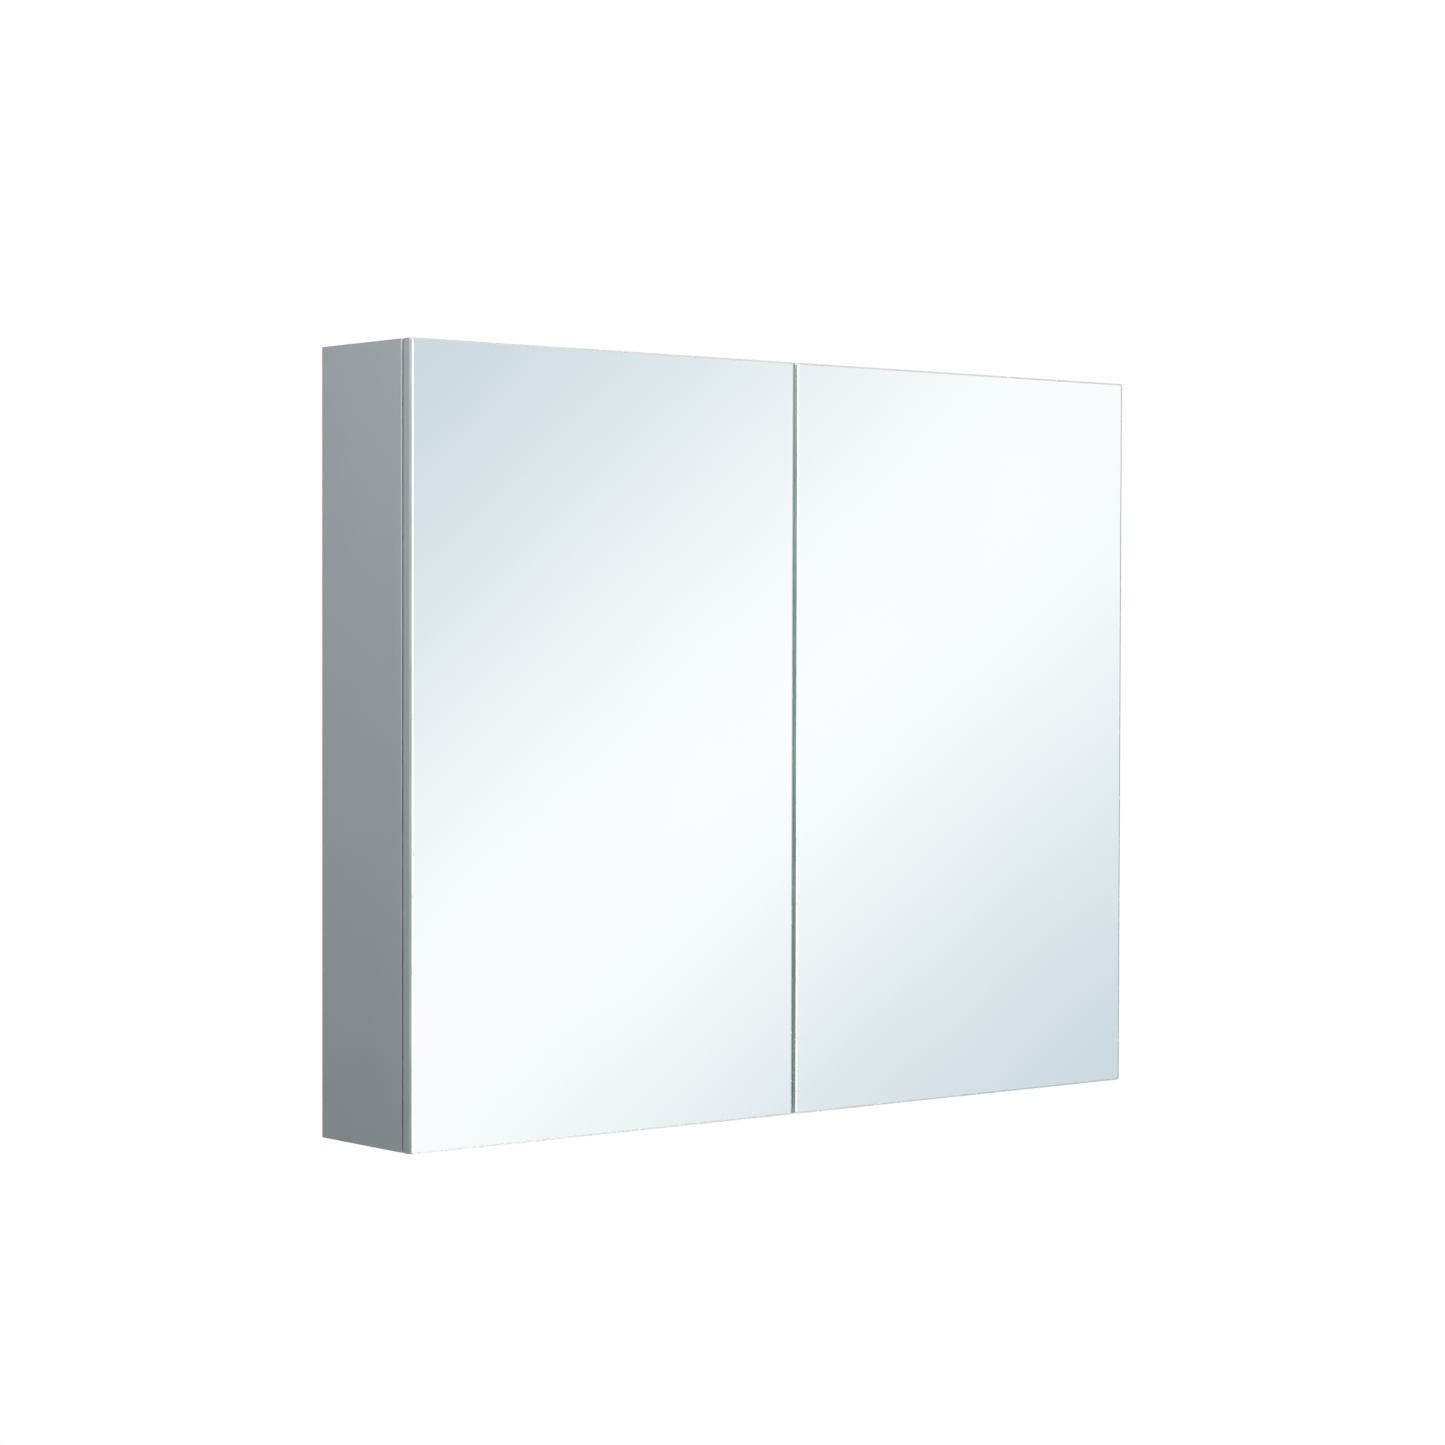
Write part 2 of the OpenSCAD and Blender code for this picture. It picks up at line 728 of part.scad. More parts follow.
plate_screws();
hinge_arm(LEFT, UPPER);  // hinge_arm_upper_left
hinge_arm(LEFT, LOWER);  // hinge_arm_lower_left
hinge_arm(RIGHT, UPPER);  // hinge_arm_upper_right
hinge_arm(RIGHT, LOWER);  // hinge_arm_lower_right
arm_screws(clamp_y);  // arm_clamp_screws
arm_screws(adjuster_y);  // arm_adjusting_screws
hinge_pot(LEFT, UPPER);  // hinge_pot_upper_left
hinge_pot(LEFT, LOWER);  // hinge_pot_lower_left
hinge_pot(RIGHT, UPPER);  // hinge_pot_upper_right
hinge_pot(RIGHT, LOWER);  // hinge_pot_lower_right
hinge_pin(LEFT, UPPER);  // hinge_pin_upper_left
hinge_pin(LEFT, LOWER);  // hinge_pin_lower_left
hinge_pin(RIGHT, UPPER);  // hinge_pin_upper_right
hinge_pin(RIGHT, LOWER);  // hinge_pin_lower_right
pot_screws(LEFT);  // pot_screws_left
pot_screws(RIGHT);  // pot_screws_right
door_board(LEFT);  // door_board_left
door_board(RIGHT);  // door_board_right
mirror_glass(LEFT);  // mirror_left
mirror_glass(RIGHT);  // mirror_right
latch_housing(LEFT);  // latch_housing_left
latch_housing(RIGHT);  // latch_housing_right
latch_end_cap(LEFT);  // latch_end_cap_left
latch_end_cap(RIGHT);  // latch_end_cap_right
latch_spring(LEFT);  // latch_spring_left
latch_spring(RIGHT);  // latch_spring_right
latch_plunger(LEFT);  // latch_plunger_left
latch_plunger(RIGHT);  // latch_plunger_right
latch_magnet(LEFT);  // latch_magnet_left
latch_magnet(RIGHT);  // latch_magnet_right
latch_screws();
strike_plate(LEFT);  // strike_plate_left
strike_plate(RIGHT);  // strike_plate_right
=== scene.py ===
import json
import math

import bmesh
import bpy
from mathutils import Matrix, Vector


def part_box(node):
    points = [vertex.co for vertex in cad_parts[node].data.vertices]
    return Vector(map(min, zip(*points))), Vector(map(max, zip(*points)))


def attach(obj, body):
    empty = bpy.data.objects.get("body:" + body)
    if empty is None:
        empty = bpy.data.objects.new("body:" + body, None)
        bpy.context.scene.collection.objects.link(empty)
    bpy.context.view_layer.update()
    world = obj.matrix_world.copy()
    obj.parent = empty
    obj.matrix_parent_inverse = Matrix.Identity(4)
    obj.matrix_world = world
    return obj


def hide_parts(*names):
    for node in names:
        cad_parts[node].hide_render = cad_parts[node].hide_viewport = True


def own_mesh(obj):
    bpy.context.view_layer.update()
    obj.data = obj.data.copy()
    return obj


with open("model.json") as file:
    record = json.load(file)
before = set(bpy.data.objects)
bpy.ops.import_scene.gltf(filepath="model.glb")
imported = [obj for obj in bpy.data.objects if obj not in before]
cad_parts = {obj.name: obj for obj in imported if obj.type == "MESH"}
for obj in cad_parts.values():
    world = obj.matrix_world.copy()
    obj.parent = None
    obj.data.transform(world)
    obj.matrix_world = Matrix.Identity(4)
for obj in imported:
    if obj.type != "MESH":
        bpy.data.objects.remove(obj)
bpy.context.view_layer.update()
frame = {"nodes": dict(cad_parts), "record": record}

MM = 0.001
X, Y, Z = range(3)
SIDES = ("left", "right")
LEVELS = ("upper", "lower")


# ---- Building materials ----

# Where nearly all values of a noise pattern lie
NOISE_LOW, NOISE_HIGH = 0.3, 0.7


def rgba(hex_colour):
    """Turns a colour as it looks on screen into the linear values of Blender's shaders."""
    values = [int(hex_colour[i:i + 2], 16) / 255 for i in (1, 3, 5)]
    linear = (v / 12.92 if v <= 0.04045 else ((v + 0.055) / 1.055) ** 2.4 for v in values)
    return (*linear, 1.0)


class Nodes:
    """Short ways to add nodes to a material's or the world's tree.

    A method that adds a node returns its output socket, except add, which returns the node.
    """

    def __init__(self, tree):
        self.tree = tree
        tree.nodes.clear()

    def add(self, kind, **attributes):
        node = self.tree.nodes.new(kind)
        for name, value in attributes.items():
            setattr(node, name, value)
        return node

    def feed(self, node, socket, value):
        """Links an output to the socket, or sets it to a number, a vector or a hex colour."""
        if isinstance(value, bpy.types.NodeSocket):
            self.tree.links.new(value, node.inputs[socket])
        elif isinstance(value, str):
            node.inputs[socket].default_value = rgba(value)
        else:
            node.inputs[socket].default_value = value

    def math(self, operation, a, b=0.0):
        node = self.add("ShaderNodeMath", operation=operation)
        self.feed(node, 0, a)
        self.feed(node, 1, b)
        return node.outputs["Value"]

    def vector_math(self, operation, a, b=(0, 0, 0), result="Vector"):
        node = self.add("ShaderNodeVectorMath", operation=operation)
        self.feed(node, 0, a)
        self.feed(node, 1, b)
        return node.outputs[result]

    def split(self, vector):
        node = self.add("ShaderNodeSeparateXYZ")
        self.feed(node, "Vector", vector)
        return node.outputs["X"], node.outputs["Y"], node.outputs["Z"]

    def ramp(self, value, low, high, to_low=0.0, to_high=1.0, smooth=False):
        """Turns the value's course from low to high into one from to_low to to_high."""
        kind = "SMOOTHSTEP" if smooth else "LINEAR"
        node = self.add("ShaderNodeMapRange", interpolation_type=kind)
        self.feed(node, "Value", value)
        self.feed(node, "From Min", low)
        self.feed(node, "From Max", high)
        self.feed(node, "To Min", to_low)
        self.feed(node, "To Max", to_high)
        return node.outputs["Result"]

    def blend(self, factor, a, b):
        """Mixes two colours. The node has sockets of each type, so its names aren't unique."""
        node = self.add("ShaderNodeMix", data_type="RGBA")
        factor_input, a_input, b_input, colour_output = 0, 6, 7, 2
        self.feed(node, factor_input, factor)
        self.feed(node, a_input, a)
        self.feed(node, b_input, b)
        return node.outputs[colour_output]


class Look(Nodes):
    """A material built round one Principled shader."""

    def __init__(self, name, **settings):
        self.material = bpy.data.materials.new(name)
        self.material.use_nodes = True
        super().__init__(self.material.node_tree)
        self.shader = self.add("ShaderNodeBsdfPrincipled")
        for setting, value in settings.items():
            self.feed(self.shader, setting.replace("_", " "), value)
        output = self.add("ShaderNodeOutputMaterial")
        self.feed(output, "Surface", self.shader.outputs["BSDF"])
        coordinates = self.add("ShaderNodeTexCoord")
        self.place = coordinates.outputs["Object"]
        self.normal = coordinates.outputs["Normal"]

    def noise(self, size, detail=2.0, stretch=(1, 1, 1), distortion=0.0):
        """Noise with patches of about this size in metres, divided by stretch along each axis."""
        mapping = self.add("ShaderNodeMapping")
        self.feed(mapping, "Vector", self.place)
        self.feed(mapping, "Scale", stretch)
        node = self.add("ShaderNodeTexNoise")
        self.feed(node, "Vector", mapping.outputs["Vector"])
        self.feed(node, "Scale", 1 / size)
        self.feed(node, "Detail", detail)
        self.feed(node, "Distortion", distortion)
        return node.outputs["Fac"]

    def grains(self, size):
        node = self.add("ShaderNodeTexVoronoi", feature="F1")
        self.feed(node, "Vector", self.place)
        self.feed(node, "Scale", 1 / size)
        return node.outputs["Distance"]

    def bands(self, axis_name, pitch):
        """Fine parallel bands across an axis. A scale of 1 gives 20 bands in tau metres."""
        node = self.add("ShaderNodeTexWave", bands_direction=axis_name)
        self.feed(node, "Vector", self.place)
        self.feed(node, "Scale", math.tau / 20 / pitch)
        return node.outputs["Fac"]

    def two_tone(self, pattern, a, b, low=0.35, high=0.65):
        return self.blend(self.ramp(pattern, low, high), a, b)

    def colour(self, source):
        self.feed(self.shader, "Base Color", source)

    def rough(self, pattern, low, high):
        """Roughness that follows a pattern between two values."""
        self.roughness(self.ramp(pattern, NOISE_LOW, NOISE_HIGH, low, high))

    def roughness(self, source):
        self.feed(self.shader, "Roughness", source)

    def bump(self, *layers):
        """Each layer is a height pattern with its depth in metres, the broadest first."""
        normal = None
        for height, depth in layers:
            node = self.add("ShaderNodeBump")
            self.feed(node, "Height", height)
            self.feed(node, "Distance", depth)
            if normal:
                self.feed(node, "Normal", normal)
            normal = node.outputs["Normal"]
        self.feed(self.shader, "Normal", normal)


# ---- Boards and wood ----

# How deep inside its six faces a board shows its bare core
CORE_DEPTH = 0.4 * MM
CORE_ROUGHNESS = 0.85
SCREEN_PITCH = 1.6 * MM
PLY_PITCH = 2.4 * MM


def core_share(look, node):
    """1 in the bores, pockets and grooves cut in a board, and 0 on its six faces."""
    low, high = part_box(node)
    from_middle = look.vector_math("SUBTRACT", look.place, tuple((low + high) / 2))
    distance = look.vector_math("ABSOLUTE", from_middle)
    depth = look.vector_math("SUBTRACT", tuple((high - low) / 2), distance)
    x, y, z = look.split(depth)
    least = look.math("MINIMUM", look.math("MINIMUM", x, y), z)
    return look.math("GREATER_THAN", least, CORE_DEPTH)


def fibreboard(look):
    """Bare brown fibreboard: matted fibres in lighter and darker patches."""
    fibres = look.noise(0.5 * MM, detail=5)
    light = look.two_tone(fibres, "#8E7355", "#A98C69")
    dark = look.two_tone(fibres, "#84694C", "#9F825F")
    return look.two_tone(look.noise(9 * MM, detail=3), light, dark)


def lacquered_board(node):
    """Grey high-gloss lacquer with faint clouds, over fibreboard that shows in its bores."""
    look = Look(f"grey_gloss_lacquer_{node}", Coat_Weight=0.5, Coat_Roughness=0.02)
    clouds = look.two_tone(look.noise(160 * MM, detail=3), "#9AA2A7", "#A0A8AC")
    flakes = look.ramp(look.noise(0.35 * MM, detail=1), 0.25, 0.75)
    core = core_share(look, node)
    look.colour(look.blend(core, look.blend(flakes, clouds, "#A5ADB1"), fibreboard(look)))
    wear = look.noise(40 * MM, detail=4)
    gloss = look.ramp(wear, NOISE_LOW, NOISE_HIGH, 0.14, 0.22)
    look.roughness(look.math("MAXIMUM", gloss, look.math("MULTIPLY", core, CORE_ROUGHNESS)))
    orange_peel = look.noise(3.5 * MM, detail=1)
    dust = look.noise(0.3 * MM, detail=2)
    look.bump((orange_peel, 0.012 * MM), (dust, 0.001 * MM))
    return look.material


def back_board():
    """Thin fibreboard: grey foil towards the shelves, and bare with a screen's print behind."""
    look = Look("back_board")
    to_wall = look.math("GREATER_THAN", look.split(look.normal)[Y], 0.5)
    foil = look.two_tone(look.noise(90 * MM, detail=3), "#B9BDBE", "#C0C4C4")
    screen = look.math("MULTIPLY", look.bands("X", SCREEN_PITCH), look.bands("Z", SCREEN_PITCH))
    bare = look.blend(look.ramp(screen, 0, 1, 0, 0.35), fibreboard(look), "#5F4A35")
    look.colour(look.blend(to_wall, foil, bare))
    look.roughness(look.ramp(to_wall, 0, 1, 0.32, 0.8))
    fibres = look.noise(0.6 * MM, detail=3)
    look.bump((look.math("MULTIPLY", screen, to_wall), 0.05 * MM), (fibres, 0.006 * MM))
    return look.material


def rail_plywood():
    """Birch plywood: grain along the rail on its faces, and thin plies on its edges."""
    look = Look("birch_plywood")
    grain = look.noise(5 * MM, detail=6, stretch=(0.06, 1, 1), distortion=0.6)
    face = look.two_tone(grain, "#D9BE93", "#E8D4AE", 0.3, 0.7)
    end_grain = look.noise(0.5 * MM, detail=3)
    dark_ply = look.two_tone(end_grain, "#A98456", "#BC976A")
    light_ply = look.two_tone(end_grain, "#D3B283", "#E2C79C")
    edge = look.blend(look.ramp(look.bands("Y", PLY_PITCH), 0.45, 0.55), dark_ply, light_ply)
    faces_wall = look.math("ABSOLUTE", look.split(look.normal)[Y])
    look.colour(look.blend(look.ramp(faces_wall, 0.4, 0.6), edge, face))
    look.rough(grain, 0.5, 0.66)
    pores = look.noise(0.4 * MM, detail=2, stretch=(0.1, 1, 1))
    look.bump((grain, 0.03 * MM), (pores, 0.01 * MM))
    return look.material


def beech():
    """Pale beech, with its short dark flecks."""
    look = Look("beech")
    flecks = look.noise(0.8 * MM, detail=3, stretch=(0.3, 1, 0.3))
    look.colour(look.two_tone(flecks, "#B98F63", "#D6B388", 0.3, 0.6))
    look.rough(flecks, 0.5, 0.65)
    look.bump((flecks, 0.02 * MM))
    return look.material


# ---- Metals ----

def metal(name, dark, bright, rough, marks, stretch=(1, 1, 1)):
    """Metal with marks of one size, longer along an axis where the stretch is under 1."""
    look = Look(name, Metallic=1.0)
    lines = look.noise(marks, detail=4, stretch=stretch)
    tarnish = look.noise(11 * MM, detail=4)
    clean = look.two_tone(lines, dark, bright)
    look.colour(look.blend(look.ramp(tarnish, 0.35, 0.75, 0, 0.35), clean, dark))
    look.rough(look.math("MULTIPLY", look.math("ADD", lines, tarnish), 0.5), *rough)
    look.bump((lines, 0.004 * MM))
    return look.material


def die_cast_zinc():
    """Raw die-cast zinc: dull grey, pitted and slightly mottled by the mould."""
    look = Look("die_cast_zinc", Metallic=0.85)
    mottle = look.noise(2.5 * MM, detail=5)
    look.colour(look.two_tone(mottle, "#8C9092", "#A5A8A8"))
    look.rough(mottle, 0.42, 0.62)
    grit = look.noise(0.25 * MM, detail=2)
    look.bump((look.grains(0.7 * MM), 0.02 * MM), (grit, 0.01 * MM))
    return look.material


def magnet():
    """Pressed and sintered ferrite: near black, with pale grains."""
    look = Look("sintered_ferrite", Metallic=0.25)
    look.colour(look.two_tone(look.grains(0.3 * MM), "#4A4A4C", "#29292B", 0.1, 0.5))
    look.rough(look.noise(1 * MM, detail=4), 0.45, 0.68)
    look.bump((look.grains(0.25 * MM), 0.015 * MM))
    return look.material


# ---- Plastics ----

def moulded_plastic(name, dark, bright, rough):
    """Moulded plastic with the fine eroded texture of its mould, whose specks are also lightened
    in colour as painted sparkle.
    """
    look = Look(name, Subsurface_Weight=0.05, Subsurface_Scale=1 * MM)
    flow = look.noise(7 * MM, detail=3)
    spark = look.noise(0.18 * MM, detail=2)
    # The fine specks lighten the colour a little: painted sparkle
    painted_sparkle = look.ramp(spark, NOISE_LOW, NOISE_HIGH, 0, 0.25)
    look.colour(look.blend(painted_sparkle, look.two_tone(flow, dark, bright), bright))
    look.rough(flow, *rough)
    look.bump((spark, 0.012 * MM))
    return look.material


# ---- Glass ----

def mirror_face():
    """Silvered float glass seen from the front, with the faintest change in its silvering."""
    look = Look("silvered_mirror", Metallic=1.0)
    look.colour(look.two_tone(look.noise(300 * MM, detail=1), "#FDFDFD", "#FFFFFF"))
    look.rough(look.noise(70 * MM, detail=3), 0.0, 0.01)
    return look.material


def mirror_bevel():
    """The narrow bevel ground round a mirror, with short chips where the wheel skipped: their
    bumps catch the light, and their colour is lightened to white as painted glints.
    """
    look = Look("mirror_bevel", Metallic=0.85)
    streaks = look.noise(14 * MM, detail=4, stretch=(0.4, 1, 0.4))
    # Short chips: bumps that catch the light, and colour lightened to white there as painted
    # glints
    chips_and_painted_glints = look.ramp(look.noise(6 * MM, detail=1), 0.66, 0.7)
    look.colour(look.blend(chips_and_painted_glints, look.two_tone(streaks, "#F0F5F3", "#FCFDFC"), "#FFFFFF"))
    look.rough(streaks, 0.12, 0.2)
    look.bump((chips_and_painted_glints, 0.25 * MM))
    return look.material


def glass_edge(name, dark, bright):
    """Green edge of clear glass, streaked along by the polishing wheel, with painted glow: long
    lighter and darker patches standing in for the light the glass carries within.
    """
    look = Look(name, Coat_Weight=0.5, Coat_Roughness=0.04)
    streaks = look.noise(1.2 * MM, detail=2, stretch=(0.02, 1, 0.02))
    # Painted glow: lighter and darker mint patches that stand in for light carried inside the
    # glass
    painted_glow = look.noise(80 * MM, detail=2, stretch=(1, 0.1, 1))
    streaked = look.ramp(streaks, 0.35, 0.65, 0, 0.3)
    look.colour(look.blend(streaked, look.two_tone(painted_glow, dark, bright), bright))
    look.rough(look.noise(9 * MM, detail=3), 0.12, 0.25)
    look.bump((streaks, 0.004 * MM))
    return look.material


def mirror_paint():
    """The grey protective paint on the back of a mirror."""
    look = Look("mirror_backing_paint")
    look.colour(look.two_tone(look.noise(4 * MM, detail=4), "#6F7476", "#7E8385"))
    look.rough(look.noise(2 * MM, detail=3), 0.5, 0.62)
    look.bump((look.noise(1.5 * MM, detail=2), 0.01 * MM))
    return look.material


def clear_glass():
    """Clear float glass with a breath of green, and hardly visible wiping marks."""
    look = Look("clear_glass", Transmission_Weight=1.0, IOR=1.52)
    look.colour(look.two_tone(look.noise(60 * MM, detail=2), "#F2FAF7", "#F8FDFB"))
    look.rough(look.noise(25 * MM, detail=4, stretch=(0.4, 1, 1)), 0.0, 0.02)
    return look.material


BOARDS = ("side_panel_left", "side_panel_right", "top_panel", "bottom_panel", "centre_partition",
          "door_board_left", "door_board_right")
SLOT_LOOKS = {
    "back_board": back_board(),
    "rail_plywood": rail_plywood(),
    "dowel_wood": beech(),
    "nickel_steel": metal("nickel_plated_steel", "#BDB9B1", "#D9D5CC", rough=(0.2, 0.34),
                          marks=0.5 * MM, stretch=(0.08, 1, 1)),
    "pin_steel": metal("ground_steel_pin", "#A9ABAD", "#C9CBCC", rough=(0.16, 0.26),
                       marks=0.3 * MM, stretch=(1, 1, 0.1)),
    "plated_fixings": metal("nickel_plated_fixings", "#BFC3C6", "#DDE0E1", rough=(0.18, 0.34),
                            marks=0.6 * MM),
    "spring_steel": metal("spring_steel", "#77797C", "#9A9C9E", rough=(0.28, 0.42),
                          marks=0.4 * MM),
    "die_cast_zinc": die_cast_zinc(),
    "latch_plastic": moulded_plastic("latch_plastic", "#C6C9C8", "#D0D2D1", rough=(0.38, 0.5)),
    "cap_plastic": moulded_plastic("cap_plastic", "#B4B8BA", "#C0C4C5", rough=(0.42, 0.54)),
    "magnet": magnet(),
}
MIRROR_LOOKS = (mirror_face(), mirror_bevel(), glass_edge("mirror_edge", "#A6BFB7", "#C6D6D0"),
                mirror_paint())
FACE, BEVEL, EDGE, PAINT = range(len(MIRROR_LOOKS))
SHELF_LOOKS = (clear_glass(), glass_edge("shelf_edge", "#8FBFB0", "#BFDDD3"))
CLEAR, GREEN = range(len(SHELF_LOOKS))


# ---- CAD parts: their looks, and their knife edges taken off ----

# The back board's edges are hidden in its grooves, so it keeps them
EDGE_WIDTHS = {
    "lacquered_board": 0.3 * MM,
    "rail_plywood": 0.4 * MM,
    "dowel_wood": 0.2 * MM,
    "nickel_steel": 0.15 * MM,
    "pin_steel": 0.1 * MM,
    "plated_fixings": 0.08 * MM,
    "die_cast_zinc": 0.15 * MM,
    "latch_plastic": 0.2 * MM,
    "cap_plastic": 0.2 * MM,
    "magnet": 0.15 * MM,
}
WELD_DISTANCE = 0.001 * MM
SHARP_ANGLE = math.radians(40)


def soften(obj, width):
    """Takes the knife edges off a CAD part, once the vertices along them are joined."""
    weld = obj.modifiers.new("weld", "WELD")
    weld.merge_threshold = WELD_DISTANCE
    bevel = obj.modifiers.new("soft_edges", "BEVEL")
    bevel.width = width
    bevel.segments = 2
    bevel.limit_method = "ANGLE"
    bevel.angle_limit = SHARP_ANGLE
    bevel.harden_normals = True


def finish_cad_nodes():
    for part in frame["record"]["subparts"]:
        node, slot = part["node"], part["material_slot"]
        obj = frame["nodes"][node]
        if node in BOARDS:
            obj.material_slots[0].material = lacquered_board(node)
        elif slot in SLOT_LOOKS:
            obj.material_slots[0].material = SLOT_LOOKS[slot]
        if slot in EDGE_WIDTHS:
            soften(obj, EDGE_WIDTHS[slot])


# ---- Glass pieces ----

MIRROR_CORNER = 1.8 * MM
BEVEL_WIDTH = 1.5 * MM
BEVEL_DEPTH = 0.35 * MM
SHELF_CORNER = 3 * MM
SHELF_BEVEL = 0.5 * MM
CORNER_STEPS = 4


def new_piece(name, work, looks):
    """Makes an object of a finished bmesh."""
    bmesh.ops.recalc_face_normals(work, faces=work.faces)
    mesh = bpy.data.meshes.new(name)
    work.to_mesh(mesh)
    work.free()
    for look in looks:
        mesh.materials.append(look)
    obj = bpy.data.objects.new(name, mesh)
    bpy.context.scene.collection.objects.link(obj)
    return obj


def join_loops(work, here, there):
    """Adds the faces between two loops of vertices, and returns them."""
    faces = []
    for i in range(len(here)):
        j = (i + 1) % len(here)
        faces.append(work.faces.new((here[i], here[j], there[j], there[i])))
    return faces


def rounded_outline(half_width, half_height, radius, inset):
    """Points round a rectangle with round corners, brought in by the inset."""
    points = []
    for corner, (sx, sy) in enumerate(((1, 1), (-1, 1), (-1, -1), (1, -1))):
        for step in range(CORNER_STEPS + 1):
            angle = math.radians(90) * (corner + step / CORNER_STEPS)
            points.append((sx * (half_width - radius) + (radius - inset) * math.cos(angle),
                           sy * (half_height - radius) + (radius - inset) * math.sin(angle)))
    return points


def pane(name, box, thin_axis, radius, rings, cap_looks, looks):
    """A sheet of glass, built of outlines through its thickness and closed by two caps.

    Each ring is an outline's distance from the low face, its inset, and the look of the glass
    from there to the next ring, which the last ring doesn't have.
    """
    low, high = box
    middle = (low + high) / 2
    across, along = [axis for axis in range(3) if axis != thin_axis]
    half_width, half_height = (high[across] - low[across]) / 2, (high[along] - low[along]) / 2
    work = bmesh.new()
    loops = []
    for height, inset, _ in rings:
        loop = []
        for a, b in rounded_outline(half_width, half_height, radius, inset):
            point = Vector(middle)
            point[across] += a
            point[along] += b
            point[thin_axis] = low[thin_axis] + height
            loop.append(work.verts.new(point))
        loops.append(loop)
    for (_, _, look), here, there in zip(rings, loops, loops[1:]):
        for face in join_loops(work, here, there):
            face.material_index = look
    for loop, look in zip((loops[0], loops[-1]), cap_looks):
        work.faces.new(loop).material_index = look
    return new_piece(name, work, looks)


def mirror(side):
    """A mirror: silvered face, polished bevel round it, green edge and painted back."""
    node = f"mirror_{side}"
    low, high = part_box(node)
    rings = ((0, BEVEL_WIDTH, BEVEL), (BEVEL_DEPTH, 0, EDGE), (high.y - low.y, 0, None))
    piece = pane(f"mirror_pane_{side}", (low, high), Y, MIRROR_CORNER, rings,
                 (FACE, PAINT), MIRROR_LOOKS)
    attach(piece, f"door_{side}")
    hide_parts(node)


def shelf(level, side):
    """A glass shelf with round corners, and a fine bevel round both faces."""
    node = f"shelf_{level}_{side}"
    low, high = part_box(node)
    thickness = high.z - low.z
    rings = ((0, SHELF_BEVEL, GREEN), (SHELF_BEVEL, 0, GREEN),
             (thickness - SHELF_BEVEL, 0, GREEN), (thickness, SHELF_BEVEL, None))
    piece = pane(f"glass_shelf_{level}_{side}", (low, high), Z, SHELF_CORNER, rings,
                 (CLEAR, CLEAR), SHELF_LOOKS)
    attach(piece, "cabinet")
    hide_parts(node)


# ---- Latch springs ----

WIRE_RADIUS = 0.4 * MM
WIRE_SIDES = 10
OPEN_TURNS = 8
CLOSED_PITCH = 2.1 * WIRE_RADIUS
STEPS_A_TURN = 28


def spring_path(low, high):
    """Points along the middle of the wire: one closed turn, the open turns, one closed turn."""
    axis_x, axis_z = (low.x + high.x) / 2, (low.z + high.z) / 2
    radius = (high.x - low.x) / 2 - WIRE_RADIUS
    first, last = low.y + WIRE_RADIUS, high.y - WIRE_RADIUS
    open_pitch = (last - first - 2 * CLOSED_PITCH) / OPEN_TURNS
    last_open = OPEN_TURNS + 1
    points = []
    for step in range((OPEN_TURNS + 2) * STEPS_A_TURN + 1):
        turn = step / STEPS_A_TURN
        closed = min(turn, 1) + max(turn - last_open, 0)
        y = first + CLOSED_PITCH * closed + open_pitch * min(max(turn - 1, 0), OPEN_TURNS)
        angle = math.tau * turn
        points.append(Vector((axis_x + radius * math.cos(angle), y,
                              axis_z + radius * math.sin(angle))))
    return points


def latch_spring(side):
    """A compression spring of round wire, built at the length of its part; the real one shortens
    as the plunger is pressed.
    """
    node = f"latch_spring_{side}"
    low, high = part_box(node)
    path = spring_path(low, high)
    work = bmesh.new()
    loops = []
    for i, point in enumerate(path):
        along = (path[min(i + 1, len(path) - 1)] - path[max(i - 1, 0)]).normalized()
        out = along.cross(Vector((0, 1, 0))).normalized()
        up = out.cross(along)
        loop = []
        for k in range(WIRE_SIDES):
            angle = math.tau * k / WIRE_SIDES
            offset = WIRE_RADIUS * (out * math.cos(angle) + up * math.sin(angle))
            loop.append(work.verts.new(point + offset))
        loops.append(loop)
    for here, there in zip(loops, loops[1:]):
        for face in join_loops(work, here, there):
            face.smooth = True
    work.faces.new(loops[0])
    work.faces.new(loops[-1])
    piece = new_piece(f"coil_spring_{side}", work, (SLOT_LOOKS["spring_steel"],))
    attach(piece, "cabinet")
    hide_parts(node)
    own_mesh(piece)


# ---- Camera and floor ----

CAMERA_PLACE = (-2.035, -2.5131, 0.0854)
CAMERA_YAW = math.radians(39.35)
CAMERA_PITCH = math.radians(-1.3)
CAMERA_ROLL = math.radians(0.13)
CAMERA_LENS = 90.32
CAMERA_REACH = 100
FLOOR_LEVEL = -1.2
FLOOR_RADIUS = 2.3


def camera_axes():
    """Right, up and forward of the camera."""
    level = math.cos(CAMERA_PITCH)
    forward = Vector((math.sin(CAMERA_YAW) * level, math.cos(CAMERA_YAW) * level,
                      math.sin(CAMERA_PITCH)))
    level_right = Vector((math.cos(CAMERA_YAW), -math.sin(CAMERA_YAW), 0))
    level_up = level_right.cross(forward)
    right = level_right * math.cos(CAMERA_ROLL) + level_up * math.sin(CAMERA_ROLL)
    return right, right.cross(forward), forward


def make_camera():
    right, up, forward = camera_axes()
    data = bpy.data.cameras.new("camera")
    data.lens = CAMERA_LENS
    data.clip_end = CAMERA_REACH
    camera = bpy.data.objects.new("camera", data)
    bpy.context.scene.collection.objects.link(camera)
    turn = Matrix((right, up, -forward)).transposed().to_4x4()
    camera.matrix_world = Matrix.Translation(CAMERA_PLACE) @ turn
    bpy.context.scene.camera = camera


